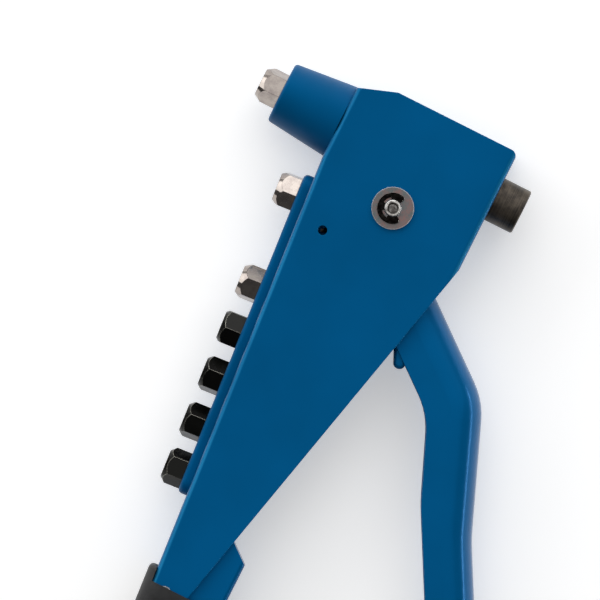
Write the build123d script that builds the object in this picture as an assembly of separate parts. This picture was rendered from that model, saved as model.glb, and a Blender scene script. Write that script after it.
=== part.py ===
from build123d import *
import math
import os

# Hand riveter with a rack of spare nosepieces. Millimetres.
# The tool lies on its side. The origin is the foot of the lever pivot on the plane it lies on.
# +Z runs up along the pivot pin, +X runs back along the rivet axis, the handles hang towards -Y.

# --- driving dimensions: sheet metal body ---
pinHeadThickness = 1.5      # the pin head is what the body stands on
shellWidth = 24.0           # over both side plates
wall = 2.0                  # sheet thickness of shell, channel and lever
bendRadius = 1.8            # outside of the sheet's folds
cornerRadius = 2.2
shellFrontX = -26.3         # outer face of the upright front web
shellRearX = 26.6           # outer face of the rear web
topRise = 4.3               # the top slopes down by this much to the front web
topSlopeEndX = -14.3
rearKneeY = -7.6            # below here the rear is open and leans forward
frontLean = 4.8             # degrees off the Y axis
rearLean = 12.9
shellEndY = -150.0          # the shell ends inside the fixed grip

# --- rivet axis ---
noseLength = 20.05
noseWall = 2.6              # round the bore, at the nose's face
noseInset = 0.25            # from the shell's side plates in to the nose's base
noseBaseSink = 0.45         # of the front web's top below the top of the nose's base
kneeRise = 0.15             # of the front web's knee over the foot of the nose's base
noseEdge = 1.1
noseSpigotWall = 1.9
noseLip = 0.9               # swaged rim inside the front web
noseLipBevel = 0.4
threadRadius = 4.7
threadClearance = 0.05
armSideGap = 0.4            # between the lever's arms and the jaw case
runningClearance = 0.06
tailOut = 9.3               # how far the tail sleeve stands out at rest
bushWall = 1.45
bushFlange = 1.2
bushFlangeRim = 1.3

# --- nosepieces ---
hexShoulder = 0.6           # the hexagon is this much wider across flats than the thread
hexHeight = 6.6
crownEndShare = 0.86        # of the hexagon's half width, left flat by the crown
threadLength = 6.4
tailLength = 2.4
tailRootShare = 0.9         # of the jaw case's mouth
tailEndShare = 0.625
fittedBore = 1.6
fittedTwist = -20.0
fittedHexHeight = 7.1
fittedCrown = 2.4           # height of the cone turned on the hexagon's outer end
rackThickness = 3.0
rackWidth = 15.0
rackTopY = -2.2
rackLength = 104.9
rackCorner = 4.0
rackEdge = 1.4
seatPitch = 15.23
firstSeatRun = 6.8          # from the rack's top end to the first seat
seatCount = 7
emptySeat = 2
webHoleClearance = 0.6
seatBores = {1: 1.25, 3: 1.45, 4: 1.6, 5: 1.85, 6: 2.1, 7: 2.35}
seatCrowns = {1: 2.4, 3: 2.4, 4: 1.7, 5: 1.7, 6: 1.7, 7: 1.7}
seatTwist = {1: -7.0, 3: 11.0, 4: -2.0, 5: 14.0, 6: 17.0, 7: 31.5}

# --- pivot ---
pinRadius = 2.6
pinHeadRim = 2.4
pinHeadBevel = 0.4
pinOverhang = 3.0           # above the near plate
pinClearance = 0.05
pinEndRound = 0.4
dishRim = 0.75
dishTaper = 0.6
dishDepth = 0.7
washerRim = 3.9             # beyond the pin
washerThickness = 1.0
clipRim = 2.2               # beyond the pin
clipThickness = 0.7
clipInnerRim = 0.75
clipLugLap = 0.2
clipOpening = 13.5          # degrees, the way the clip's mouth faces
clipMouth = 48.0            # half angle of the mouth
clipHornSpan = 31.5         # half angle of each prong beside the mouth
clipBackSpan = 23.0         # half angle of the prong at the back
clipHornRound = 1.0
clipPlay = 0.05
grooveDepth = 0.6
bushSide = 1.9              # wall of the pivot bush
thrustRim = 3.0             # beyond the bush
thrustGap = 0.05

# --- lever ---
leverSideGap = 0.5          # between the lever and each side plate
hubRim = 4.5                # beyond the bush
hubArc = (38.0, 218.0)      # degrees, where the flank's edges meet the hub
rimInset = 2.5              # of the flank's top corner from the lever's back
armRise = 0.037             # of the arm tip over the rivet axis at rest
armRest = 12.0              # degrees that the arm leans forward at rest
armTip = 3.7
armNeck = 2.55              # half width between the collars
armShoulder = 5.6           # half width where the neck leaves the hub
armShoulderRun = 5.0        # from the pivot
armNeckRun = 6.6            # back from the tip's centre
leverTravel = 24.0          # degrees
backStart = (16.5, -12.4)
backKnee = (51.3, -40.1)
backSweep = (67.3, -79.7)
backEnd = (125.4, -184.4)
frontStart = (20.2, -37.4)
frontKnee = (37.7, -51.3)
frontSweep = (48.4, -76.9)
frontEnd = (111.8, -191.2)
kneeRadius = 24.0
sweepRadius = 60.0
tabRadius = 1.8
tabEnd = (23.15, -41.35)
tabRoot = (18.4, -31.0)
tabDrop = 0.8
tabDepth = 6.0
tabRound = 1.2

# --- pulling head ---
headGap = 1.0               # between the collars and the return spring
collarInset = 0.6           # from the outer faces of the lever's arms
collarThickness = 2.5
grooveClearance = 0.12
caseFrontGap = 0.4          # between the nose's inner wall and the jaw case
caseMouthShare = 0.5634     # of the jaw case's outside
caseTaper = 8.0             # degrees, half angle
caseTaperLength = 14.0
sleeveOverlap = 9.5         # thread between jaw case and tail sleeve
sleeveWall = 1.5
sleeveEdge = 0.4
caseRearWall = 0.9
plugThickness = 4.0
plugBore = 2.6
plugDepth = 15.0            # plug's rear face, in from the sleeve's end

# --- jaws ---
jawCount = 3
jawLength = 11.0
jawTravel = 2.4             # along the rivet axis, relative to the jaw case
jawClearance = 0.08
jawGap = 0.35
jawBite = 1.26              # radius of the teeth when closed
jawNoseGap = 0.2
jawFrontRelief = 0.5
jawRearRelief = 1.0
toothPitch = 1.1
toothDepth = 0.22
pusherLength = 8.0
pusherPlay = 0.52
pusherBevel = 1.6
pusherBore = 2.4
pusherGap = 0.1
jawSpringWire = 0.9
jawSpringTurns = 10
jawSpringPlay = 0.4         # inside the bores
jawSpringEndGap = 0.15

# --- return spring ---
returnWire = 1.4
returnPlay = 0.9            # between the coil and the bush
returnPitch = 1.55
returnTurns = 5
hookPoint = (-16.1, -15.6)
hookHole = 1.45
longLeg = 17.0              # how far along the lever's back the long leg reaches
longLegGap = 0.5            # between that leg and the lever's back
hookSink = 0.5              # of the hook's end in the side plate's hole

# --- fixed handle ---
channelTopY = -98.0
channelKnee = (8.7, -117.8)
channelPlay = 0.1
channelTopInset = 3.0       # of the channel's top corner from the front web
channelTopDrop = 1.0
channelRearInset = 1.2      # from the shell's rear edge
channelBendY = -112.0
channelWebShare = 0.7       # of the wall, where the web turns into the bend
channelLeanEndY = -152.0    # below here the front edge closes in
channelEndInset = 1.5
rivetRadius = 2.4
rivetPlaces = [(-9.6, -136.5), (-9.0, -145.0)]

# --- grips ---
gripTopY = -130.0
gripEndY = -233.0
gripFloor = 7.0             # closed end below the handle channel
gripLap = 5.0               # of the cuts past the grip's open end
gripTongue = 4.5            # the grip's front reaches this much higher, over the front web
gripSkin = 2.6
gripEdge = 6.5
gripCorner = 7.5
gripRim = 1.3               # rounding of the open end's outer edge
leverGripStart = 16.0
leverGripBack = 12.0        # from the lever's end up to where the grip's length is counted
leverGripLap = 10.0
leverGripEase = 0.02
leverGripTail = 5.0
leverGripPlay = 0.8         # room past the lever's end inside the sleeve

# --- worked out from the above ---
leverWidth = shellWidth - 2 * wall - 2 * leverSideGap
headRadius = leverWidth / 2 - wall - armSideGap
collarRadius = leverWidth / 2 - collarInset
bushRadius = pinRadius + bushSide
returnRadius = bushRadius + returnPlay + returnWire / 2
noseY = returnRadius + returnWire / 2 + headGap + collarRadius
noseFaceRadius = headRadius + noseWall
noseBaseRadius = shellWidth / 2 - noseInset
noseSpigotRadius = headRadius + noseSpigotWall
frontTopY = noseY + noseBaseRadius - noseBaseSink
shellTopY = frontTopY + topRise
frontKneeY = noseY - noseBaseRadius + kneeRise      # below here the front web leans back
hexFlats = 2 * threadRadius + hexShoulder
crownEndRadius = hexFlats / 2 * crownEndShare
caseMouthRadius = headRadius * caseMouthShare
tailRootRadius = caseMouthRadius * tailRootShare
tailEndRadius = caseMouthRadius * tailEndShare
sleeveBore = headRadius - sleeveWall
armReach = noseY / math.cos(math.radians(armRest)) + armRise
gripThickness = shellWidth + 2 * pinHeadThickness
channelEndY = gripEndY + gripFloor
farFace = pinHeadThickness
nearFace = farFace + shellWidth
midZ = farFace + shellWidth / 2
noseFaceX = shellFrontX - noseLength
noseWallX = noseFaceX + threadLength
tailEndX = shellRearX + tailOut
leanDown = (math.sin(math.radians(frontLean)), -math.cos(math.radians(frontLean)))
leanOut = (-math.cos(math.radians(frontLean)), -math.sin(math.radians(frontLean)))
armAngle = 90 + armRest
armTipX = armReach * math.cos(math.radians(armAngle))
headTravel = 2 * armReach * math.sin(math.radians(leverTravel / 2))
grooveFrontX = armTipX - armTip - grooveClearance
grooveRearX = armTipX + armTip + grooveClearance
caseFrontX = noseWallX + caseFrontGap
caseBore = caseMouthRadius + caseTaperLength * math.tan(math.radians(caseTaper))
jawFrontX = noseWallX + tailLength + jawNoseGap
jawRearX = jawFrontX + jawLength
plugRearX = tailEndX - plugDepth
plugFrontX = plugRearX - plugThickness
sleeveFrontX = grooveRearX + collarThickness


def polar(radius, degrees):
    return (radius * math.cos(math.radians(degrees)), radius * math.sin(math.radians(degrees)))


def frontX(y):
    """X of the front web's outer face at height y."""
    drop = max(0.0, frontKneeY - y)
    return shellFrontX + drop * math.tan(math.radians(frontLean))


def rearX(y):
    """X of the side plate's rear edge at height y."""
    drop = max(0.0, rearKneeY - y)
    return shellRearX - drop * math.tan(math.radians(rearLean))


def parallel(points, distance):
    """The same run of straight lines, moved to its right by distance."""
    lines = []
    for (ax, ay), (bx, by) in zip(points, points[1:]):
        run = math.hypot(bx - ax, by - ay)
        ux, uy = (bx - ax) / run, (by - ay) / run
        lines.append((ax + uy * distance, ay - ux * distance, ux, uy))
    moved = [lines[0][:2]]
    for (px, py, ux, uy), (qx, qy, vx, vy) in zip(lines, lines[1:]):
        along = ((qx - px) * vy - (qy - py) * vx) / (ux * vy - uy * vx)
        moved.append((px + ux * along, py + uy * along))
    lastX, lastY, ux, uy = lines[-1]
    run = math.hypot(points[-1][0] - points[-2][0], points[-1][1] - points[-2][1])
    moved.append((lastX + ux * run, lastY + uy * run))
    return moved


def slab(points, low, high):
    face = make_face(Polyline(*points, close=True))
    return extrude(Pos(0, 0, low) * face, amount=high - low, dir=(0, 0, 1))


def turned(profile):
    """Revolve (x, radius) points about the rivet axis."""
    face = make_face(Polyline(*[(x, noseY + r) for x, r in profile], close=True))
    return revolve(Pos(0, 0, midZ) * face, Axis((0, noseY, midZ), (1, 0, 0)))


def upright(x, y, radius, low, high):
    """A cylinder along Z."""
    return Pos(x, y, (low + high) / 2) * Cylinder(radius, high - low)


def rod(start, end, radius):
    """A round rod from one point to another."""
    run = Vector(*end) - Vector(*start)
    circle = Plane(origin=start, z_dir=run) * Circle(radius)
    return extrude(circle, amount=run.length, dir=run.normalized())


def edgesOn(solid, low, high, test):
    """Edges lying in the planes Z = low or high whose middle passes the test."""
    chosen = []
    for edge in solid.edges():
        middle = edge @ 0.5
        flat = abs((edge @ 0).Z - (edge @ 1).Z) < 0.01
        if flat and min(abs(middle.Z - low), abs(middle.Z - high)) < 0.01 and test(middle):
            chosen.append(edge)
    return chosen


def seatPlane(index):
    """Plane on the rack's front face at a seat, its Z pointing out of the seat."""
    run = firstSeatRun + (index - 1) * seatPitch
    startX = frontX(rackTopY) + leanOut[0] * rackThickness
    startY = rackTopY + leanOut[1] * rackThickness
    x = startX + leanDown[0] * run
    y = startY + leanDown[1] * run
    return Plane(origin=(x, y, midZ), x_dir=(0, 0, 1), z_dir=(leanOut[0], leanOut[1], 0))


def shellOutline():
    return [(shellFrontX, frontTopY), (topSlopeEndX, shellTopY), (shellRearX, shellTopY),
            (shellRearX, rearKneeY), (rearX(shellEndY), shellEndY), (frontX(shellEndY), shellEndY),
            (shellFrontX, frontKneeY)]


def bodyShell():
    """One folded sheet: two side plates, a front web all the way and a short rear web."""
    shell = slab(shellOutline(), farFace, nearFace)

    def onFold(point):
        front = abs(point.X - frontX(point.Y)) < 0.01
        rear = abs(point.X - shellRearX) < 0.01
        return front or rear

    shell = fillet(edgesOn(shell, farFace, nearFace, onFold), bendRadius)
    rounded = make_face(Polyline(*shellOutline(), close=True))
    corners = [v for v in rounded.vertices() if abs(v.X - shellRearX) < 0.01]
    rounded = fillet(corners, cornerRadius)
    shell &= extrude(Pos(0, 0, farFace) * rounded, amount=shellWidth, dir=(0, 0, 1))
    beyond = 20.0
    inside = [(shellFrontX + wall, shellTopY + beyond), (shellRearX - wall, shellTopY + beyond),
              (shellRearX - wall, rearKneeY), (shellRearX + beyond, rearKneeY),
              (shellRearX + beyond, shellEndY - beyond),
              (frontX(shellEndY - beyond) + wall, shellEndY - beyond),
              (shellFrontX + wall, frontKneeY)]
    shell -= slab(inside, farFace + wall, nearFace - wall)
    shell -= turned([(shellFrontX - 1, 0), (shellFrontX - 1, noseSpigotRadius),
                     (shellFrontX + wall + 1, noseSpigotRadius), (shellFrontX + wall + 1, 0)])
    bushOuter = headRadius + runningClearance + bushWall
    shell -= turned([(shellRearX - wall - 1, 0), (shellRearX - wall - 1, bushOuter),
                     (shellRearX + 1, bushOuter), (shellRearX + 1, 0)])
    shell -= upright(0, 0, pinRadius + pinClearance, 0, nearFace + 1)
    shell -= upright(*hookPoint, hookHole, nearFace - wall - 1, nearFace + 1)
    for index in range(1, seatCount + 1):
        hole = threadRadius + webHoleClearance
        depth = rackThickness + wall + 1
        shell -= seatPlane(index).location * Pos(0, 0, -depth / 2) * Cylinder(hole, depth)
    for x, y in rivetPlaces:
        shell -= upright(x, y, rivetRadius, 0, nearFace + 1)
    return shell


def noseBarrel():
    """Tapered nose, its spigot swaged into the front web, bored for the jaw case."""
    bore = headRadius + runningClearance
    seat = threadRadius + threadClearance
    webX = shellFrontX + wall
    lipRadius = noseSpigotRadius + noseLip
    barrel = turned([(noseFaceX, seat), (noseFaceX, noseFaceRadius), (shellFrontX, noseBaseRadius),
                     (shellFrontX, noseSpigotRadius), (webX, noseSpigotRadius), (webX, lipRadius),
                     (webX + noseLip, lipRadius - noseLipBevel), (webX + noseLip, bore), (noseWallX, bore),
                     (noseWallX, seat)])
    rim = [e for e in barrel.edges().filter_by(GeomType.CIRCLE)
           if abs(e.radius - noseFaceRadius) < 0.01 and abs(e.center().X - noseFaceX) < 0.01]
    return fillet(rim, noseEdge)


def nosepiece(bore, height, crown):
    """Hex head above Z = 0, thread and cone tail below, drilled right through."""
    hexagon = RegularPolygon(hexFlats / 2, 6, major_radius=False)
    head = extrude(hexagon, amount=height)
    cornerReach = hexFlats / math.sqrt(3)
    shank = height - crown
    blank = Pos(0, 0, shank / 2) * Cylinder(cornerReach, shank)
    blank += Pos(0, 0, height - crown / 2) * Cone(cornerReach, crownEndRadius, crown)
    head &= blank
    thread = Pos(0, 0, -threadLength / 2) * Cylinder(threadRadius, threadLength)
    tail = Pos(0, 0, -threadLength - tailLength / 2) * Cone(tailEndRadius, tailRootRadius, tailLength)
    piece = head + thread + tail
    total = height + threadLength + tailLength
    return piece - Pos(0, 0, height - total / 2) * Cylinder(bore, total + 1)


def fittedNosepiece():
    seat = Plane(origin=(noseFaceX, noseY, midZ), x_dir=(0, 0, 1), z_dir=(-1, 0, 0))
    piece = nosepiece(fittedBore, fittedHexHeight, fittedCrown)
    return seat.location * (Rot(0, 0, fittedTwist) * piece)


def spareNosepiece(index):
    piece = nosepiece(seatBores[index], hexHeight, seatCrowns[index])
    return seatPlane(index).location * (Rot(0, 0, seatTwist[index]) * piece)


def nosepieceRack():
    """Flat bar on the front web, with a threaded seat for each nosepiece."""
    base = Plane(origin=(frontX(rackTopY), rackTopY, midZ), x_dir=(leanDown[0], leanDown[1], 0),
                 z_dir=(leanOut[0], leanOut[1], 0))
    bar = Pos(rackLength / 2, 0, rackThickness / 2) * Box(rackLength, rackWidth, rackThickness)
    bar = fillet(bar.edges().filter_by(Axis.Z), rackCorner)
    bar = fillet(bar.faces().sort_by(Axis.Z)[-1].edges(), rackEdge)
    rack = base.location * bar
    for index in range(1, seatCount + 1):
        hole = Cylinder(threadRadius + threadClearance, 4 * rackThickness)
        rack -= seatPlane(index).location * hole
    return rack


def pivotPin():
    top = nearFace + pinOverhang
    pin = upright(0, 0, pinRadius, 0, top)
    pin = fillet(pin.edges().sort_by(Axis.Z)[-1], pinEndRound)
    head = upright(0, 0, pinRadius + pinHeadRim, 0, pinHeadThickness)
    head = chamfer(head.edges().sort_by(Axis.Z)[0], pinHeadBevel)
    grooveLow = nearFace + washerThickness
    groove = upright(0, 0, pinRadius + 1, grooveLow, grooveLow + clipThickness + 2 * clipPlay)
    groove -= upright(0, 0, pinRadius - grooveDepth, grooveLow - 1, top)
    dishRadius = pinRadius - dishRim
    dish = Pos(0, 0, top - dishDepth / 2) * Cone(dishRadius - dishTaper, dishRadius, dishDepth)
    return head + pin - groove - dish


def pivotWasher():
    ring = upright(0, 0, pinRadius + washerRim, nearFace, nearFace + washerThickness)
    return ring - upright(0, 0, pinRadius + 2 * pinClearance, nearFace - 1, nearFace + 2)


def onMouth(point):
    """Whether a point lies on either end face of the clip's mouth."""
    angle = math.degrees(math.atan2(point.Y, point.X)) - clipOpening
    return abs(abs(angle) - clipMouth) < 0.5


def eClip():
    """Snap ring with three prongs in the pin's groove and a mouth on one side."""
    low = nearFace + washerThickness + clipPlay
    high = low + clipThickness
    inner = pinRadius - grooveDepth + clipPlay
    lugReach = pinRadius + clipInnerRim
    ring = upright(0, 0, pinRadius + clipRim, low, high)
    ring -= upright(0, 0, lugReach, low - 1, high + 1)
    far = 3 * (pinRadius + clipRim)
    mouth = [(0, 0), polar(far, clipOpening - clipMouth), polar(far, clipOpening + clipMouth)]
    ring -= slab(mouth, low - 1, high + 1)
    lug = upright(0, 0, lugReach + clipLugLap, low, high)
    horn = clipMouth + clipHornSpan
    for angle, half in ((180, clipBackSpan), (horn, clipHornSpan), (-horn, clipHornSpan)):
        first = clipOpening + angle - half
        last = clipOpening + angle + half
        wedge = slab([(0, 0), polar(far, first), polar(far, last)], low - 1, high + 1)
        ring += lug & wedge
    clip = ring - upright(0, 0, inner, low - 1, high + 1)
    ends = [e for e in clip.edges().filter_by(Axis.Z) if onMouth(e.center())]
    return fillet(ends, clipHornRound)


def pivotBush():
    """Bush pressed through both lever arms, turning on the pin."""
    low = midZ - leverWidth / 2
    high = midZ + leverWidth / 2
    return upright(0, 0, bushRadius, low, high) - upright(0, 0, pinRadius + pinClearance, low - 1, high + 1)


def thrustWashers():
    rings = []
    for plateFace, way in ((farFace + wall, 1), (nearFace - wall, -1)):
        near = plateFace
        far = plateFace + way * (leverSideGap - thrustGap)
        low, high = min(near, far), max(near, far)
        ring = upright(0, 0, bushRadius + thrustRim, low, high)
        rings.append(ring - upright(0, 0, pinRadius + 2 * pinClearance, low - 1, high + 1))
    return Compound(children=[ring.solid() for ring in rings])


def backLine():
    return [backStart, backKnee, backSweep, backEnd]


def frontLine():
    return [frontStart, frontKnee, frontSweep, frontEnd]


def leverPlate(low, high):
    """One side of the lever: arm, hub and the flat flank down to the end."""
    centre = parallel(backLine(), leverWidth / 2)
    back = FilletPolyline(*centre, radius=[kneeRadius - leverWidth / 2, sweepRadius])
    front = FilletPolyline(*reversed(frontLine()), radius=[sweepRadius, kneeRadius])
    hubRadius = bushRadius + hubRim
    hubBack, hubFront = [polar(hubRadius, angle) for angle in hubArc]
    rim = parallel(backLine(), rimInset)[0]
    closing = Polyline(front @ 1, hubFront, hubBack, rim, back @ 0)
    foot = Line(back @ 1, front @ 0)
    flank = make_face(Curve() + [back, foot, front, closing])
    plate = extrude(Pos(0, 0, low) * flank, amount=high - low, dir=(0, 0, 1))
    plate += upright(0, 0, hubRadius, low, high)
    along = polar(1, armAngle)
    across = (-along[1], along[0])

    def armPoint(distance, side):
        return (along[0] * distance + across[0] * side, along[1] * distance + across[1] * side)

    neck = armReach - armNeckRun
    arm = [armPoint(0, armShoulder), armPoint(armShoulderRun, armShoulder), armPoint(neck, armNeck),
           armPoint(armReach, armNeck), armPoint(armReach, -armNeck), armPoint(neck, -armNeck),
           armPoint(armShoulderRun, -armShoulder), armPoint(0, -armShoulder)]
    plate += slab(arm, low, high)
    tip = armPoint(armReach, 0)
    plate += upright(*tip, armTip, low, high)
    return plate


def leverTab(low, outerFace):
    """Bent-in lug on the lever's front edge, round at its end and on its outer face."""
    run = Vector(*tabEnd) - Vector(*tabRoot)
    sideways = Vector(-run.Y, run.X).normalized() * tabRadius
    corners = [Vector(*tabRoot) + sideways, Vector(*tabEnd) + sideways,
               Vector(*tabEnd) - sideways, Vector(*tabRoot) - sideways]
    tab = slab([(c.X, c.Y) for c in corners], low, low + tabDepth)
    tab += upright(*tabEnd, tabRadius, low, low + tabDepth)
    return fillet(tab.faces().sort_by(Axis.Z)[outerFace].edges(), tabRound)


def lever():
    """Moving handle: a channel with a half-round back, open towards the fixed handle."""
    half = leverWidth / 2
    line = parallel(backLine(), half)
    centre = FilletPolyline(*line, radius=[kneeRadius - half, sweepRadius])
    start = Plane(origin=(*line[0], midZ), x_dir=(0, 0, 1), z_dir=centre % 0)
    ring = start * (Circle(half) - Circle(half - wall))
    keep = start * (Pos(0, half) * Rectangle(2 * half, 2 * half))
    drop = start * (Pos(0, -half) * Rectangle(2 * half, 2 * half))
    outward = Vector(*backStart, midZ) - start.origin
    side = keep if (keep.center() - start.origin).dot(outward) > 0 else drop
    back = sweep(ring & side, path=Pos(0, 0, midZ) * centre)
    farPlate = leverPlate(midZ - half, midZ - half + wall)
    nearPlate = leverPlate(midZ + half - wall, midZ + half)
    body = back + farPlate + nearPlate
    body += leverTab(midZ - half + tabDrop, 0)
    body += leverTab(midZ + half - tabDrop - tabDepth, -1)
    return body - upright(0, 0, bushRadius, 0, nearFace)


def jawCase():
    """Tapered bore for the jaws, two collars for the lever's arm tips, thread at the back."""
    rearX = sleeveFrontX + sleeveOverlap
    threadEnd = sleeveBore - threadClearance
    return turned([(caseFrontX, caseMouthRadius), (caseFrontX, headRadius),
                   (grooveFrontX - collarThickness, headRadius),
                   (grooveFrontX - collarThickness, collarRadius), (grooveFrontX, collarRadius),
                   (grooveFrontX, headRadius), (grooveRearX, headRadius), (grooveRearX, collarRadius),
                   (sleeveFrontX, collarRadius), (sleeveFrontX, threadEnd), (rearX, threadEnd),
                   (rearX, threadEnd - caseRearWall),
                   (sleeveFrontX - collarThickness, threadEnd - caseRearWall),
                   (sleeveFrontX - 2 * collarThickness, caseBore),
                   (caseFrontX + caseTaperLength, caseBore)])


def tailSleeve():
    tube = turned([(sleeveFrontX, sleeveBore), (sleeveFrontX, headRadius), (tailEndX, headRadius),
                   (tailEndX, sleeveBore)])
    ends = [e for e in tube.edges().filter_by(GeomType.CIRCLE) if abs(e.center().X - tailEndX) < 0.01]
    return chamfer(ends, sleeveEdge)


def springPlug():
    return turned([(plugFrontX, plugBore), (plugFrontX, sleeveBore - threadClearance),
                   (plugRearX, sleeveBore - threadClearance), (plugRearX, plugBore)])


def rearGuideBush():
    inner = headRadius + runningClearance
    outer = inner + bushWall
    flangeX = shellRearX - wall
    return turned([(flangeX - bushFlange, inner), (flangeX - bushFlange, outer + bushFlangeRim),
                   (flangeX, outer + bushFlangeRim), (flangeX, outer), (shellRearX, outer),
                   (shellRearX, inner)])


def jaw(number):
    """A third of a toothed cone, drawn closed and then set back along the taper."""
    slope = math.tan(math.radians(caseTaper))
    front = jawFrontX - jawTravel

    def coneRadius(x):
        return caseMouthRadius + (x - caseFrontX) * slope - jawClearance

    rear = front + jawLength
    profile = [(front, jawBite + jawFrontRelief), (front, coneRadius(front)), (rear, coneRadius(rear)),
               (rear, jawBite + jawRearRelief)]
    teeth = int((jawLength - 2 * jawRearRelief) / toothPitch)
    for tooth in range(teeth, 0, -1):
        x = front + jawFrontRelief + tooth * toothPitch
        profile.append((x, jawBite))
        profile.append((x - 0.5 * toothPitch, jawBite + toothDepth))
    cone = turned(profile)
    angle = 90 + 360 / jawCount * number
    reach = 20.0
    far = polar(reach, 180 / jawCount)
    sector = [(jawGap, 0), (jawGap + far[0], far[1]), (jawGap + far[0], -far[1])]
    wedge = extrude(Plane.YZ * Polygon(*sector, align=None), amount=jawLength + 2, dir=(1, 0, 0))
    wedge = Pos(front - 1, noseY, midZ) * Rot(angle, 0, 0) * wedge
    outward = polar(jawTravel * slope, angle)
    return Pos(jawTravel, outward[0], outward[1]) * (cone & wedge)


def jawPusher():
    front = jawRearX + pusherGap
    pusherRadius = caseBore - pusherPlay
    return turned([(front, pusherBore), (front, pusherRadius - pusherBevel),
                   (front + pusherBevel, pusherRadius),
                   (front + pusherLength, pusherRadius), (front + pusherLength, pusherBore)])


def coil(radius, wire, pitch, height, lefthand=False):
    """A round-wire helix about Z starting at (radius, 0, 0)."""
    path = Helix(pitch=pitch, height=height, radius=radius, lefthand=lefthand)
    section = Plane(origin=path @ 0, z_dir=path % 0) * Circle(wire / 2)
    return sweep(section, path=path, is_frenet=True)


def jawSpring():
    front = jawRearX + pusherGap + pusherLength + jawSpringEndGap + jawSpringWire / 2
    rear = plugFrontX - jawSpringEndGap - jawSpringWire / 2
    radius = sleeveBore - threadClearance - caseRearWall - jawSpringWire / 2 - jawSpringPlay
    height = rear - front
    turns = coil(radius, jawSpringWire, height / jawSpringTurns, height)
    return Pos(front, noseY, midZ) * Rot(0, 90, 0) * turns


def tangentAngle(point, radius, side):
    """Angle on a circle about the pivot where a line from the point touches it."""
    distance = math.hypot(*point)
    half = math.degrees(math.acos(radius / distance))
    return math.degrees(math.atan2(point[1], point[0])) + side * half


def returnSpring():
    """Torsion spring on the pivot bush: one leg hooked in the plate, one against the lever."""
    backX, backY = backKnee[0] - backStart[0], backKnee[1] - backStart[1]
    run = math.hypot(backX, backY)
    ux, uy = backX / run, backY / run
    depth = wall + returnWire + longLegGap
    leverPoint = (backStart[0] + ux * longLeg + uy * depth, backStart[1] + uy * longLeg - ux * depth)
    leverTouch = tangentAngle(leverPoint, returnRadius, -1)
    hookTouch = tangentAngle(hookPoint, returnRadius, 1)
    turns = returnTurns + ((leverTouch - hookTouch) % 360) / 360 - 1
    height = turns * returnPitch
    low = midZ - height / 2
    high = midZ + height / 2
    wire = returnWire / 2
    spring = Pos(0, 0, low) * Rot(0, 0, leverTouch) * coil(returnRadius, returnWire, returnPitch, height,
                                                           lefthand=True)
    leverEnd = polar(returnRadius, leverTouch)
    hookEnd = polar(returnRadius, hookTouch)
    spring += rod((*leverEnd, low), (*leverPoint, low), wire)
    spring += rod((*hookEnd, high), (*hookPoint, high), wire)
    for x, y, z in ((*leverEnd, low), (*hookEnd, high), (*hookPoint, high)):
        spring += Pos(x, y, z) * Sphere(wire)
    spring += rod((*hookPoint, high), (*hookPoint, nearFace - hookSink), wire)
    return spring


def channelOutline():
    frontGap = wall + channelPlay
    return [(frontX(channelTopY) + frontGap + channelTopInset, channelTopY),
            (rearX(channelTopY) - channelRearInset, channelTopY - channelTopDrop),
            (rearX(channelBendY) - channelRearInset, channelBendY), channelKnee,
            (channelKnee[0], channelEndY),
            (frontX(channelEndY) + frontGap + channelEndInset, channelEndY),
            (frontX(channelLeanEndY) + frontGap, channelLeanEndY)]


def handleChannel():
    """Inner channel of the fixed handle, nested in the shell, its web facing the lever."""
    low = farFace + wall
    high = nearFace - wall
    channel = slab(channelOutline(), low, high)

    def onWeb(point):
        return abs(point.X - channelKnee[0]) < 0.01 and point.Y < channelKnee[1]

    channel = fillet(edgesOn(channel, low, high, onWeb), bendRadius)
    beyond = 20.0
    webX = channelKnee[0] - wall
    inside = [(frontX(channelTopY) - beyond, channelTopY + beyond), (shellRearX, channelTopY + beyond),
              (rearX(channelBendY) - channelRearInset, channelBendY - wall),
              (webX, channelKnee[1] - channelWebShare * wall),
              (webX, channelEndY - beyond), (frontX(channelEndY) - beyond, channelEndY - beyond)]
    channel -= slab(inside, low + wall, high - wall)
    for x, y in rivetPlaces:
        channel -= upright(x, y, rivetRadius, 0, nearFace + 1)
    return channel


def channelRivets():
    rivets = [upright(x, y, rivetRadius, farFace, nearFace).solid() for x, y in rivetPlaces]
    return Compound(children=rivets)


def fixedGrip():
    """Sleeve over the fixed handle, open at the top, closed at the end."""
    rearFace = channelKnee[0] + gripSkin
    outline = [(frontX(gripTopY) - gripSkin, gripTopY), (rearFace, gripTopY), (rearFace, gripEndY),
               (frontX(gripEndY) - gripSkin, gripEndY)]
    face = make_face(Polyline(*outline, close=True))
    foot = [v for v in face.vertices() if abs(v.Y - gripEndY) < 0.01]
    face = fillet(foot, gripCorner)
    base = midZ - gripThickness / 2
    grip = extrude(Pos(0, 0, base) * face, amount=gripThickness, dir=(0, 0, 1))

    def aroundRim(point):
        return point.Y < gripTopY - 0.01

    grip = fillet(edgesOn(grip, base, base + gripThickness, aroundRim), gripEdge)
    grip = fillet(grip.faces().sort_by(Axis.Y)[-1].edges(), gripRim)
    above = gripTopY + gripLap
    inShell = [(frontX(above), above), (rearX(above), above), (rearX(shellEndY), shellEndY),
               (frontX(shellEndY), shellEndY)]
    grip -= slab(inShell, farFace, nearFace)
    tongueY = gripTopY - gripTongue
    overPlates = [(frontX(above), above), (rearFace + gripLap, above), (rearFace + gripLap, tongueY),
                  (frontX(tongueY), tongueY)]
    grip -= slab(overPlates, base - gripLap, base + gripThickness + gripLap)
    inChannel = [(frontX(above) + wall, above), (channelKnee[0], above), (channelKnee[0], channelEndY),
                 (frontX(channelEndY) + wall, channelEndY)]
    grip -= slab(inChannel, farFace + wall, nearFace - wall)
    return grip


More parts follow.
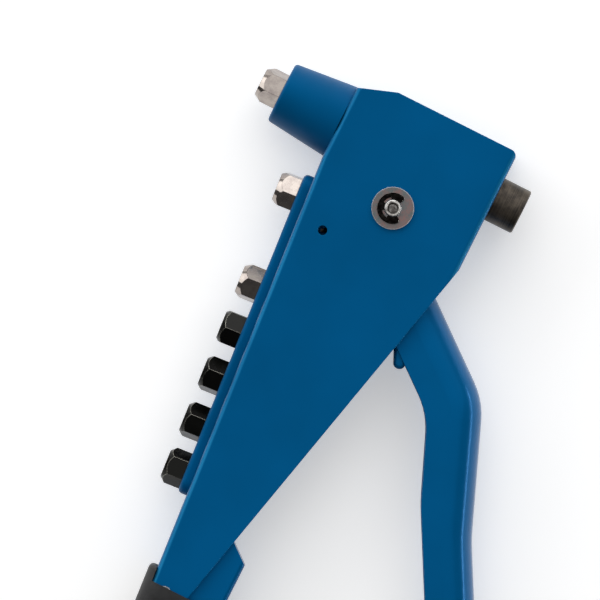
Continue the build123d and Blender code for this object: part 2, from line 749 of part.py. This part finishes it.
def leverGrip():
    """Sleeve over the lever's end, open at the top, closed at the end."""
    ux, uy = backEnd[0] - backSweep[0], backEnd[1] - backSweep[1]
    run = math.hypot(ux, uy)
    ux, uy = ux / run, uy / run
    depth = (backEnd[0] - frontEnd[0]) * -uy + (backEnd[1] - frontEnd[1]) * ux
    endX = (backEnd[0] + frontEnd[0]) / 2
    endY = (backEnd[1] + frontEnd[1]) / 2
    length = run - leverGripBack - leverGripStart
    axisPlane = Plane(origin=(endX, endY, midZ), x_dir=(-ux, -uy, 0), z_dir=(0, 0, 1))
    face = Pos((length - leverGripTail) / 2, 0) * Rectangle(length + leverGripTail, depth + 2 * gripSkin)
    foot = [v for v in face.vertices() if v.X < 0]
    face = fillet(foot, gripCorner)
    half = gripThickness / 2
    grip = extrude(Pos(0, 0, -half) * face, amount=gripThickness, dir=(0, 0, 1))

    def aroundRim(point):
        return point.X < length - 0.01

    grip = fillet(edgesOn(grip, -half, half, aroundRim), gripEdge)
    grip = fillet(grip.faces().sort_by(Axis.X)[-1].edges(), gripRim)
    pocket = length + leverGripLap + leverGripPlay
    flank = Pos(pocket / 2 - leverGripPlay, 0, 0) * Box(pocket, depth, leverWidth)
    rounds = [e for e in flank.edges().filter_by(Axis.X) if e.center().Y < 0]
    flank = fillet(rounds, leverWidth / 2 - leverGripEase)
    return axisPlane.location * (grip - flank)


def jawNodes():
    return {f"jaw_{number + 1}": jaw(number) for number in range(jawCount)}


def spareNodes():
    return {f"spare_nosepiece_{index}": spareNosepiece(index) for index in seatBores}


def build():
    nodes = {
        "body_shell": bodyShell(),
        "nose_barrel": noseBarrel(),
        "fitted_nosepiece": fittedNosepiece(),
        "nosepiece_rack": nosepieceRack(),
        "handle_channel": handleChannel(),
        "channel_rivets": channelRivets(),
        "fixed_grip": fixedGrip(),
        "pivot_pin": pivotPin(),
        "pivot_washer": pivotWasher(),
        "e_clip": eClip(),
        "thrust_washers": thrustWashers(),
        "rear_guide_bush": rearGuideBush(),
        "return_spring": returnSpring(),
        "lever": lever(),
        "lever_grip": leverGrip(),
        "pivot_bush": pivotBush(),
        "jaw_case": jawCase(),
        "tail_sleeve": tailSleeve(),
        "spring_plug": springPlug(),
        "jaw_pusher": jawPusher(),
        "jaw_spring": jawSpring(),
    }
    nodes.update(spareNodes())
    nodes.update(jawNodes())
    return nodes


os.makedirs("parts", exist_ok=True)
for name, shape in build().items():
    export_step(shape, f"parts/{name}.step")
print("head travel", round(headTravel, 4), "mm for", leverTravel, "degrees")
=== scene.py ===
import math

import bmesh
import bpy
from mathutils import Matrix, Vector


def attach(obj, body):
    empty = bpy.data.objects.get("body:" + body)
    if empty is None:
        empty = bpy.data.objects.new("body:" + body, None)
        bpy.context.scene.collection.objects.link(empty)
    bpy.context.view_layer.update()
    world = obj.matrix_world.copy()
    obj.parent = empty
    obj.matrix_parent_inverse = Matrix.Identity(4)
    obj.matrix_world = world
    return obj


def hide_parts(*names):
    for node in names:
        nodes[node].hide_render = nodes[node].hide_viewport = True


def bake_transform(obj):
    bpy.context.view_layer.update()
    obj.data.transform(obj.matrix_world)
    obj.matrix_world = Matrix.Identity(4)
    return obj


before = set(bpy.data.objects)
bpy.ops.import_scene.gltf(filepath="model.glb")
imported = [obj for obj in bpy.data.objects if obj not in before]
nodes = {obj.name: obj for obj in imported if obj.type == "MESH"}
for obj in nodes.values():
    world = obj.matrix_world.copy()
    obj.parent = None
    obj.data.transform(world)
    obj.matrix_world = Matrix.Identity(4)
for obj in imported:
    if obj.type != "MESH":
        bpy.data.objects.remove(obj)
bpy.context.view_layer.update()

# hand riveter lying on its side: x runs back along the rivet axis, z up along the pivot pin
mm = 0.001


# a value that varies over a surface: arithmetic on it adds Math nodes
class Value:
    def __init__(self, finish, socket):
        self.finish = finish
        self.socket = socket

    def math(self, operation, first, second=0.0):
        return self.finish.node("ShaderNodeMath", {"operation": operation}, {0: first, 1: second})

    def __add__(self, other):
        return self.math("ADD", self, other)

    def __radd__(self, other):
        return self.math("ADD", other, self)

    def __sub__(self, other):
        return self.math("SUBTRACT", self, other)

    def __rsub__(self, other):
        return self.math("SUBTRACT", other, self)

    def __mul__(self, other):
        return self.math("MULTIPLY", self, other)

    def __rmul__(self, other):
        return self.math("MULTIPLY", other, self)


# how far a normal has to turn to count as an edge, and how upright the surface is where the painted bend
# highlight falls
shading = {"bevelSamples": 4, "edgeSpan": (0.003, 0.08), "bendStart": (0.45, 0.7),
           "bendEnd": (0.93, 0.985, 1.0, 0.0)}


# one node tree, of a material or of the world
class Finish:
    def __init__(self, owner, coordinates="Object"):
        self.owner = owner
        owner.use_nodes = True
        self.tree = owner.node_tree
        self.tree.nodes.clear()
        self.place = self.node("ShaderNodeTexCoord", {}, {}, coordinates)

    def node(self, kind, settings, sockets, output=0):
        made = self.tree.nodes.new(kind)
        for key, value in settings.items():
            if key == "stops":
                ramp = made.color_ramp.elements
                while len(ramp) < len(value):
                    ramp.new(0.5)
                for stop, (position, colour) in zip(ramp, value):
                    stop.position = position
                    stop.color = colour
            else:
                setattr(made, key, value)
        for key, value in sockets.items():
            socket = made.inputs[key]
            if isinstance(value, Value):
                self.tree.links.new(value.socket, socket)
            else:
                socket.default_value = value
        return Value(self, made.outputs[output]) if made.outputs else None

    def noise(self, scale, detail=2.0, roughness=0.5, place=None):
        where = place or self.place
        return self.node("ShaderNodeTexNoise", {}, {"Vector": where, "Scale": scale, "Detail": detail,
                                                    "Roughness": roughness}, "Fac")

    def stretch(self, x, y, z):
        return self.node("ShaderNodeVectorMath", {"operation": "MULTIPLY"},
                         {0: self.place, 1: (x, y, z)})

    def fade(self, value, low, high, start=0.0, end=1.0):
        return self.node("ShaderNodeMapRange", {"clamp": True},
                         {"Value": value, "From Min": low, "From Max": high, "To Min": start,
                          "To Max": end})

    def blend(self, factor, first, second):
        return self.node("ShaderNodeMix", {"data_type": "RGBA"}, {0: factor, 6: first, 7: second}, 2)

    def bevel(self, radius):
        return self.node("ShaderNodeBevel", {"samples": shading["bevelSamples"]}, {"Radius": radius})

    # how far the surface normal turns within a small radius: 1 on sharp edges, 0 on flats
    def edges(self, radius):
        soft = self.bevel(radius)
        hard = self.node("ShaderNodeNewGeometry", {}, {}, "Normal")
        turn = self.node("ShaderNodeVectorMath", {"operation": "DOT_PRODUCT"}, {0: soft, 1: hard}, 1)
        return self.fade(1 - turn, *shading["edgeSpan"])

    # painted highlight mask: 1 where the surface leans a little away from straight up, as along the bends of
    # folded sheet
    def folds(self):
        upright = self.node("ShaderNodeVectorMath", {"operation": "DOT_PRODUCT"},
                            {0: self.node("ShaderNodeNewGeometry", {}, {}, "Normal"), 1: (0, 0, 1)}, 1)
        return self.fade(upright, *shading["bendStart"]) * self.fade(upright, *shading["bendEnd"])

    # 1 inside a radius round the upright pivot axis, 0 outside it
    def nearPivot(self, low, high):
        flat = self.stretch(1.0, 1.0, 0.0)
        away = self.node("ShaderNodeVectorMath", {"operation": "LENGTH"}, {0: flat}, 1)
        return self.fade(away, low, high, 1.0, 0.0)

    def relief(self, height, strength, distance, softEdge=None):
        sockets = {"Height": height, "Strength": strength, "Distance": distance}
        if softEdge:
            sockets["Normal"] = self.bevel(softEdge)
        return self.node("ShaderNodeBump", {}, sockets)

    def finish(self, sockets):
        shader = self.node("ShaderNodeBsdfPrincipled", {}, sockets)
        self.node("ShaderNodeOutputMaterial", {}, {"Surface": shader})
        return self.owner


def newFinish(name):
    return Finish(bpy.data.materials.new(name))


# the usual screen curve
curve = {"steps": 255, "toe": 0.04045, "slope": 12.92, "offset": 0.055, "power": 2.4}


# a screen colour, 0 to 255, as the linear colour that shaders take
def linear(*screen):
    channels = []
    for step in screen:
        level = step / curve["steps"]
        if level <= curve["toe"]:
            channels.append(level / curve["slope"])
        else:
            channels.append(((level + curve["offset"]) / (1 + curve["offset"])) ** curve["power"])
    return (*channels, 1.0)


# in each finish: noises are scale, detail and roughness; spans are the low and high end of a fade, then what
# it gives at each end; relief is strength and depth
# the lighter blue along the edges is a painted highlight, and the lighter blue along the sheet bends is a
# painted highlight too
enamel = {"deep": linear(0, 78, 124), "light": linear(0, 84, 134), "worn": linear(20, 136, 196),
          "bend": linear(40, 140, 184), "cloud": (28.0, 3.0, 0.55), "peel": (900.0, 2.0, 0.45),
          "dust": (2600.0, 1.0, 0.6), "scuff": (160.0, 4.0, 0.7), "cloudSpan": (0.35, 0.65),
          "scuffSpan": (0.46, 0.62, 0.15, 0.6), "bendSpan": (0.3, 0.6), "bendThin": 0.4, "dustShare": 0.4,
          "dustRelief": 0.2, "gloss": (0.11, 0.24), "relief": (0.12, 0.05 * mm), "edge": 0.35 * mm,
          "tint": (0.015, 0.38, 1.0, 1.0)}
# how much flatter than the lever's each coat is, how strong the painted highlight along its bends is, and
# how strongly it reflects
coats = {"shellEnamel": {"flatter": 0.0, "bend": 0.55, "shine": 0.85},
         "castEnamel": {"flatter": 0.3, "bend": 0.0, "shine": 0.3},
         "blueEnamel": {"flatter": 0.0, "bend": 0.0, "shine": 0.85}}
glossSpan = (0.3, 0.7)


def blueEnamel(name):
    coat = coats[name]
    paint = newFinish(name)
    cloud = paint.noise(*enamel["cloud"])
    peel = paint.noise(*enamel["peel"])
    dust = paint.noise(*enamel["dust"])
    tone = paint.blend(paint.fade(cloud, *enamel["cloudSpan"]), enamel["deep"], enamel["light"])
    # painted highlight: lighter blue along the edges, broken up by noise
    scuff = paint.fade(paint.noise(*enamel["scuff"]), *enamel["scuffSpan"])
    tone = paint.blend(paint.edges(enamel["edge"]) * scuff, tone, enamel["worn"])
    # painted highlight: lighter blue along the sheet bends, where the surface leans a little from straight
    # up, stronger or weaker with the cloud noise
    if coat["bend"]:
        thin = paint.fade(cloud, *enamel["bendSpan"], enamel["bendThin"] * coat["bend"], coat["bend"])
        tone = paint.blend(paint.folds() * thin, tone, enamel["bend"])
    low, high = enamel["gloss"]
    share = enamel["dustShare"]
    gloss = paint.fade(cloud * (1 - share) + dust * share, *glossSpan, low + coat["flatter"],
                       high + coat["flatter"])
    share = enamel["dustRelief"]
    skin = paint.relief(peel * (1 - share) + dust * share, *enamel["relief"], enamel["edge"])
    return paint.finish({"Base Color": tone, "Roughness": gloss, "Normal": skin,
                         "Specular IOR Level": coat["shine"], "Specular Tint": enamel["tint"]})


# the dark edge colour is a painted dark reflection along the edges of the plated hex
nickel = {"clean": linear(176, 167, 160), "stain": linear(152, 142, 138), "line": linear(30, 26, 24),
          "patch": (420.0, 4.0, 0.6), "grain": (6000.0, 1.0), "stainSpan": (0.42, 0.7),
          "lineWidth": 0.24 * mm, "gloss": (0.35, 0.7, 0.09, 0.19), "relief": (0.06, 0.02 * mm),
          "edge": 0.12 * mm}


def brightNickel():
    plate = newFinish("brightNickel")
    patch = plate.noise(*nickel["patch"])
    grain = plate.noise(*nickel["grain"])
    tone = plate.blend(plate.fade(patch, *nickel["stainSpan"]), nickel["clean"], nickel["stain"])
    # painted reflection: dark lines along the edges
    tone = plate.blend(plate.edges(nickel["lineWidth"]), tone, nickel["line"])
    gloss = plate.fade(patch, *nickel["gloss"])
    skin = plate.relief(grain, *nickel["relief"], nickel["edge"])
    return plate.finish({"Base Color": tone, "Metallic": 1.0, "Roughness": gloss, "Normal": skin})


# the light edge colour is a painted highlight, light lines along the edges of blackened steel
oxide = {"deep": linear(20, 20, 18), "bare": linear(190, 188, 176), "patch": (300.0, 4.0, 0.6),
         "grain": (5200.0, 1.0), "rubSpan": (0.3, 0.6, 0.5, 1.0), "gloss": (0.14, 0.3), "metal": 0.75,
         "relief": (0.1, 0.02 * mm), "edge": 0.22 * mm}


def blackOxide():
    steel = newFinish("blackOxide")
    patch = steel.noise(*oxide["patch"])
    grain = steel.noise(*oxide["grain"])
    # painted highlight: light lines along the edges, broken up by noise
    rubbed = steel.edges(oxide["edge"]) * steel.fade(patch, *oxide["rubSpan"])
    tone = steel.blend(rubbed, oxide["deep"], oxide["bare"])
    gloss = steel.fade(patch, *glossSpan, *oxide["gloss"])
    skin = steel.relief(grain, *oxide["relief"], oxide["edge"])
    return steel.finish({"Base Color": tone, "Metallic": oxide["metal"], "Roughness": gloss, "Normal": skin})


sleeve = {"dark": linear(44, 40, 37), "bronze": linear(104, 95, 84), "ringScale": (5200.0, 60.0, 60.0),
          "rings": (1.0, 2.0, 0.5), "patch": (180.0, 3.0, 0.6), "ringShare": 0.4, "toneSpan": (0.4, 0.65),
          "gloss": (0.34, 0.46), "metal": 0.8, "relief": (0.12, 0.03 * mm), "edge": 0.2 * mm}


def turnedBlack():
    steel = newFinish("turnedBlack")
    rings = steel.noise(*sleeve["rings"], steel.stretch(*sleeve["ringScale"]))
    patch = steel.noise(*sleeve["patch"])
    mottle = patch * (1 - sleeve["ringShare"]) + rings * sleeve["ringShare"]
    tone = steel.blend(steel.fade(mottle, *sleeve["toneSpan"]), sleeve["dark"], sleeve["bronze"])
    gloss = steel.fade(rings, *glossSpan, *sleeve["gloss"])
    skin = steel.relief(rings, *sleeve["relief"], sleeve["edge"])
    return steel.finish({"Base Color": tone, "Metallic": sleeve["metal"], "Roughness": gloss,
                         "Normal": skin})


# the rim colour is a painted highlight along the washer's edges
zinc = {"clean": linear(124, 118, 118), "warm": linear(142, 108, 104), "cool": linear(92, 110, 112),
        "rim": linear(226, 232, 238), "patch": (330.0, 4.0, 0.65), "grit": (2400.0, 3.0, 0.7),
        "patchSpan": (0.42, 0.58), "gritSpan": (0.38, 0.62), "gloss": (0.3, 0.75, 0.28, 0.5), "metal": 0.85,
        "relief": (0.2, 0.03 * mm), "edge": 0.15 * mm, "rimEdge": 0.34 * mm}


def dullZinc():
    plate = newFinish("dullZinc")
    patch = plate.noise(*zinc["patch"])
    grit = plate.noise(*zinc["grit"])
    tone = plate.blend(plate.fade(patch, *zinc["patchSpan"]), zinc["warm"], zinc["cool"])
    tone = plate.blend(plate.fade(grit, *zinc["gritSpan"]), tone, zinc["clean"])
    # painted highlight: a light rim along the edges
    tone = plate.blend(plate.edges(zinc["rimEdge"]), tone, zinc["rim"])
    gloss = plate.fade(grit, *zinc["gloss"])
    skin = plate.relief(grit, *zinc["relief"], zinc["edge"])
    return plate.finish({"Base Color": tone, "Metallic": zinc["metal"], "Roughness": gloss, "Normal": skin})


# the dish colour is painted shade, darker inside the dished centre of the pin end
pinSteel = {"bright": linear(224, 222, 218), "dull": linear(128, 124, 120), "dish": linear(78, 74, 72),
            "patch": (900.0, 4.0, 0.7), "dullSpan": (0.4, 0.65), "dishRadii": (1.45 * mm, 1.75 * mm),
            "dishSpan": (0.3, 0.6, 0.6, 1.0), "gloss": (0.35, 0.7, 0.2, 0.4), "relief": (0.35, 0.05 * mm),
            "edge": 0.15 * mm}


def pinFinish():
    steel = newFinish("pinSteel")
    patch = steel.noise(*pinSteel["patch"])
    tone = steel.blend(steel.fade(patch, *pinSteel["dullSpan"]), pinSteel["bright"], pinSteel["dull"])
    # painted shade: darker inside the dish round the pin's axis
    dish = steel.nearPivot(*pinSteel["dishRadii"])
    tone = steel.blend(dish * steel.fade(patch, *pinSteel["dishSpan"]), tone, pinSteel["dish"])
    gloss = steel.fade(patch, *pinSteel["gloss"])
    skin = steel.relief(patch, *pinSteel["relief"], pinSteel["edge"])
    return steel.finish({"Base Color": tone, "Metallic": 1.0, "Roughness": gloss, "Normal": skin})


clip = {"black": linear(12, 10, 10), "sheen": linear(40, 38, 36), "patch": (700.0, 3.0, 0.6),
        "grain": (4200.0,), "sheenSpan": (0.45, 0.75), "gloss": (0.16, 0.31), "relief": (0.1, 0.02 * mm),
        "rubEdge": 0.08 * mm, "edge": 0.12 * mm}


def clipBlack():
    steel = newFinish("clipBlack")
    patch = steel.noise(*clip["patch"])
    tone = steel.blend(steel.fade(patch, *clip["sheenSpan"]), clip["black"], clip["sheen"])
    # painted highlight: light lines along the clip's edges
    tone = steel.blend(steel.edges(clip["rubEdge"]), tone, oxide["bare"])
    gloss = steel.fade(patch, *glossSpan, *clip["gloss"])
    skin = steel.relief(steel.noise(*clip["grain"]), *clip["relief"], clip["edge"])
    return steel.finish({"Base Color": tone, "Metallic": 1.0, "Roughness": gloss, "Normal": skin})


wire = {"drawn": linear(44, 41, 39), "dark": linear(18, 17, 16), "lay": (2600.0, 3.0, 0.6),
        "patch": (500.0, 3.0, 0.6), "layShare": 0.4, "toneSpan": (0.4, 0.62), "gloss": (0.2, 0.4),
        "relief": (0.15, 0.02 * mm)}


def springWire():
    steel = newFinish("springWire")
    lay = steel.noise(*wire["lay"])
    patch = steel.noise(*wire["patch"])
    mottle = lay * wire["layShare"] + patch * (1 - wire["layShare"])
    tone = steel.blend(steel.fade(mottle, *wire["toneSpan"]), wire["dark"], wire["drawn"])
    gloss = steel.fade(patch, *glossSpan, *wire["gloss"])
    skin = steel.relief(lay, *wire["relief"])
    return steel.finish({"Base Color": tone, "Metallic": 1.0, "Roughness": gloss, "Normal": skin})


tool = {"ground": linear(150, 150, 154), "dark": linear(96, 96, 100), "layScale": (180.0, 3600.0, 3600.0),
        "lay": (1.0, 2.0, 0.5), "toneSpan": (0.35, 0.65), "gloss": (0.28, 0.43), "relief": (0.15, 0.03 * mm),
        "edge": 0.1 * mm}


def groundSteel():
    steel = newFinish("groundSteel")
    lay = steel.noise(*tool["lay"], steel.stretch(*tool["layScale"]))
    tone = steel.blend(steel.fade(lay, *tool["toneSpan"]), tool["ground"], tool["dark"])
    gloss = steel.fade(lay, *glossSpan, *tool["gloss"])
    skin = steel.relief(lay, *tool["relief"], tool["edge"])
    return steel.finish({"Base Color": tone, "Metallic": 1.0, "Roughness": gloss, "Normal": skin})


bronze = {"light": linear(176, 138, 84), "dark": linear(112, 82, 48), "pores": (3000.0, 3.0, 0.7),
          "oil": (240.0, 3.0, 0.6), "poreShare": 0.5, "toneSpan": (0.4, 0.62),
          "gloss": (0.35, 0.65, 0.28, 0.52), "metal": 0.9, "relief": (0.3, 0.04 * mm), "edge": 0.15 * mm}


def oiledBronze():
    metal = newFinish("oiledBronze")
    pores = metal.noise(*bronze["pores"])
    oil = metal.noise(*bronze["oil"])
    mottle = pores * bronze["poreShare"] + oil * (1 - bronze["poreShare"])
    tone = metal.blend(metal.fade(mottle, *bronze["toneSpan"]), bronze["light"], bronze["dark"])
    gloss = metal.fade(oil, *bronze["gloss"])
    skin = metal.relief(pores, *bronze["relief"], bronze["edge"])
    return metal.finish({"Base Color": tone, "Metallic": bronze["metal"], "Roughness": gloss,
                         "Normal": skin})


rubber = {"black": linear(24, 24, 25), "bloom": linear(52, 52, 54), "pebbleScale": 1100.0,
          "patch": (90.0, 4.0, 0.6), "bloomSpan": (0.45, 0.75), "gloss": (0.47, 0.67),
          "relief": (0.3, 0.12 * mm)}


def gripRubber():
    cover = newFinish("gripRubber")
    pebble = cover.node("ShaderNodeTexVoronoi", {"feature": "SMOOTH_F1"},
                        {"Vector": cover.place, "Scale": rubber["pebbleScale"]}, "Distance")
    bloom = cover.noise(*rubber["patch"])
    tone = cover.blend(cover.fade(bloom, *rubber["bloomSpan"]), rubber["black"], rubber["bloom"])
    gloss = cover.fade(bloom, *glossSpan, *rubber["gloss"])
    skin = cover.relief(pebble, *rubber["relief"])
    return cover.finish({"Base Color": tone, "Roughness": gloss, "Normal": skin})


# each finish and the frame nodes that wear it
finishes = {
    "shellEnamel": (blueEnamel("shellEnamel"), ["body_shell"]),
    "castEnamel": (blueEnamel("castEnamel"), ["nose_barrel", "nosepiece_rack"]),
    "blueEnamel": (blueEnamel("blueEnamel"), ["handle_channel", "lever"]),
    "brightNickel": (brightNickel(), ["fitted_nosepiece", "spare_nosepiece_1", "spare_nosepiece_3"]),
    "blackOxide": (blackOxide(), ["spare_nosepiece_4", "spare_nosepiece_5", "spare_nosepiece_6",
                                  "spare_nosepiece_7", "jaw_case"]),
    "turnedBlack": (turnedBlack(), ["tail_sleeve"]),
    "dullZinc": (dullZinc(), ["pivot_washer", "thrust_washers", "channel_rivets", "spring_plug"]),
    "pinSteel": (pinFinish(), ["pivot_pin"]),
    "clipBlack": (clipBlack(), ["e_clip"]),
    "springWire": (springWire(), ["return_spring", "jaw_spring"]),
    "groundSteel": (groundSteel(), ["jaw_1", "jaw_2", "jaw_3", "jaw_pusher"]),
    "oiledBronze": (oiledBronze(), ["rear_guide_bush", "pivot_bush"]),
    "gripRubber": (gripRubber(), ["fixed_grip", "lever_grip"]),
}


# puts one finish on the whole of a piece
def wear(thing, finishName):
    thing.data.materials.clear()
    thing.data.materials.append(finishes[finishName][0])


for finishName, (material, nodeNames) in finishes.items():
    for nodeName in nodeNames:
        wear(nodes[nodeName], finishName)
print("finishes: on", len(nodes), "frame nodes")


# grooves across the handles: pitch, how wide and deep, and how far the cutting rings reach outside
ribs = {"pitch": 5.4 * mm, "width": 2.2 * mm, "depth": 0.9 * mm, "reach": 1.5 * mm, "corner": 6.5 * mm,
        "steps": 6, "floorShare": 0.275, "mouthShare": 1.0, "smoothAngle": 38.0, "weld": 0.002 * mm}
# where each handle's grooves run: middle and half width of the first and last, and the handle's half height
fixedRibs = {"from": (-2.2 * mm, -150.0 * mm), "to": (0.9 * mm, -222.0 * mm),
             "wide": (13.55 * mm, 10.4 * mm), "along": (0.0, -1.0), "height": 13.5 * mm, "middle": 13.5 * mm}
leverRibs = {"from": (81.8 * mm, -121.5 * mm), "to": (114.4 * mm, -180.3 * mm),
             "wide": (10.2 * mm, 10.2 * mm), "along": (0.4852174, -0.8743935), "height": 13.5 * mm,
             "middle": 13.5 * mm}


# points of a rounded rectangle across the handle
def gripSection(centre, along, halfWide, halfHigh, corner):
    across = Vector((-along.y, along.x, 0.0))
    upward = Vector((0.0, 0.0, 1.0))
    points = []
    for turn, (sideX, sideZ) in enumerate([(1, 1), (-1, 1), (-1, -1), (1, -1)]):
        for step in range(ribs["steps"] + 1):
            angle = math.radians(90.0 * (turn + step / ribs["steps"]))
            x = sideX * (halfWide - corner) + corner * math.cos(angle)
            z = sideZ * (halfHigh - corner) + corner * math.sin(angle)
            points.append(centre + across * x + upward * z)
    return points


# all the grooves of one handle, as rings that reach in from outside
def grooveRings(plan):
    form = bmesh.new()
    first = Vector((*plan["from"], plan["middle"]))
    last = Vector((*plan["to"], plan["middle"]))
    along = Vector((*plan["along"], 0.0))
    count = int((last - first).length / ribs["pitch"])
    for number in range(count + 1):
        share = number / count
        centre = first.lerp(last, share)
        halfWide = plan["wide"][0] * (1 - share) + plan["wide"][1] * share
        loops = []
        for grow, side in [(-ribs["depth"], -ribs["floorShare"]), (ribs["reach"], -ribs["mouthShare"]),
                           (ribs["reach"], ribs["mouthShare"]), (-ribs["depth"], ribs["floorShare"])]:
            shift = centre + along * (side * ribs["width"])
            loops.append([form.verts.new(point) for point in
                          gripSection(shift, along, halfWide + grow, plan["height"] + grow,
                                      ribs["corner"] + grow)])
        for here, there in zip(loops, loops[1:] + loops[:1]):
            for index in range(len(here)):
                after = (index + 1) % len(here)
                form.faces.new((here[index], here[after], there[after], there[index]))
    bmesh.ops.recalc_face_normals(form, faces=form.faces)
    mesh = bpy.data.meshes.new("grooveRings")
    form.to_mesh(mesh)
    form.free()
    rings = bpy.data.objects.new("grooveRings", mesh)
    bpy.context.scene.collection.objects.link(rings)
    return rings


# a welded copy of a frame node's mesh, to be worked on
def workingCopy(name, nodeName):
    form = bmesh.new()
    form.from_mesh(nodes[nodeName].data)
    bmesh.ops.remove_doubles(form, verts=form.verts, dist=ribs["weld"])
    mesh = bpy.data.meshes.new(name)
    form.to_mesh(mesh)
    form.free()
    piece = bpy.data.objects.new(name, mesh)
    bpy.context.scene.collection.objects.link(piece)
    return piece


def smooth(mesh):
    mesh.shade_smooth()
    mesh.set_sharp_from_angle(angle=math.radians(ribs["smoothAngle"]))


# a handle's grip with its grooves cut
def shapeGrip(name, nodeName, plan, body):
    grip = workingCopy(name, nodeName)
    rings = grooveRings(plan)
    cut = grip.modifiers.new("grooves", "BOOLEAN")
    cut.operation = "DIFFERENCE"
    cut.solver = "EXACT"
    cut.object = rings
    bpy.context.view_layer.update()
    depsgraph = bpy.context.evaluated_depsgraph_get()
    shaped = bpy.data.meshes.new_from_object(grip.evaluated_get(depsgraph))
    grip.modifiers.clear()
    grip.data = shaped
    bpy.data.objects.remove(rings)
    smooth(shaped)
    wear(grip, "gripRubber")
    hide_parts(nodeName)
    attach(grip, body)


def windSpring():
    spring = workingCopy("torsion_spring", "return_spring")
    smooth(spring.data)
    wear(spring, "springWire")
    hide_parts("return_spring")
    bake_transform(spring)


shapeGrip("ribbed_fixed_grip", "fixed_grip", fixedRibs, "frame")
shapeGrip("ribbed_lever_grip", "lever_grip", leverRibs, "lever")
windSpring()


# sky holds brightness against how far a direction leans to the bright side of the studio
studio = {"floor": linear(244, 244, 244), "floorGlow": 0.42, "floorSize": 16.0, "floorRoughness": 0.8,
          "tooth": (300.0, 2.0), "toothRelief": (0.02, 0.1 * mm), "aim": (0.02, -0.06, 0.0),
          "brightSide": (-0.25, 0.55, 0.80), "skyLevel": 1.45,
          "sky": [(0.0, 0.06), (0.38, 0.06), (0.52, 0.10), (0.62, 0.45), (0.80, 0.55), (0.90, 0.72),
                  (1.0, 0.80)]}
# name, where it stands, its two sides, its power
panels = [("topSide", (-0.35, 1.15, 0.70), (1.8, 1.0), 6.0),
          ("rearStrip", (1.1, 0.20, 0.12), (1.5, 0.07), 3.4),
          ("frontSide", (-1.0, 0.05, 0.50), (1.1, 0.5), 3.0)]


def layFloor():
    mesh = bpy.data.meshes.new("floor")
    half = studio["floorSize"] / 2
    mesh.from_pydata([(-half, -half, 0), (half, -half, 0), (half, half, 0), (-half, half, 0)], [],
                     [(0, 1, 2, 3)])
    floor = bpy.data.objects.new("floor", mesh)
    bpy.context.scene.collection.objects.link(floor)
    paper = newFinish("paleFloor")
    tooth = paper.noise(*studio["tooth"])
    mesh.materials.append(paper.finish({"Base Color": studio["floor"], "Roughness": studio["floorRoughness"],
                                        "Emission Color": studio["floor"],
                                        "Emission Strength": studio["floorGlow"],
                                        "Normal": paper.relief(tooth, *studio["toothRelief"])}))


def hangPanel(name, place, size, power):
    light = bpy.data.lights.new(name, "AREA")
    light.shape = "RECTANGLE"
    light.size, light.size_y = size
    light.energy = power
    lamp = bpy.data.objects.new(name, light)
    lamp.location = place
    facing = Vector(studio["aim"]) - Vector(place)
    lamp.rotation_euler = facing.to_track_quat("-Z", "Y").to_euler()
    lamp.visible_camera = False
    bpy.context.scene.collection.objects.link(lamp)


def setWorld():
    sky = Finish(bpy.data.worlds.new("studio"), "Generated")
    lean = sky.node("ShaderNodeVectorMath", {"operation": "DOT_PRODUCT"},
                    {0: sky.place, 1: studio["brightSide"]}, 1)
    stops = [(level, (light, light, light, 1.0)) for level, light in studio["sky"]]
    glow = sky.node("ShaderNodeValToRGB", {"stops": stops}, {0: lean})
    backdrop = sky.node("ShaderNodeBackground", {}, {"Color": glow, "Strength": studio["skyLevel"]})
    sky.node("ShaderNodeOutputWorld", {}, {"Surface": backdrop})
    bpy.context.scene.world = sky.owner


view = {"centre": (-12.7 * mm, -37.7 * mm), "turn": 26.7, "field": 183.0 * mm, "lens": 500.0,
        "sensor": 36.0, "focus": 25.5 * mm}


def setCamera():
    data = bpy.data.cameras.new("camera")
    data.lens = view["lens"]
    data.sensor_width = view["sensor"]
    camera = bpy.data.objects.new("camera", data)
    away = view["field"] * view["lens"] / view["sensor"]
    camera.location = (*view["centre"], view["focus"] + away)
    camera.rotation_euler = (0, 0, math.radians(view["turn"]))
    bpy.context.scene.collection.objects.link(camera)
    bpy.context.scene.camera = camera


layFloor()
for panel in panels:
    hangPanel(*panel)
setWorld()
setCamera()
bpy.context.scene.view_settings.view_transform = "Standard"
print("studio: floor, world, camera and", len(panels), "panels")
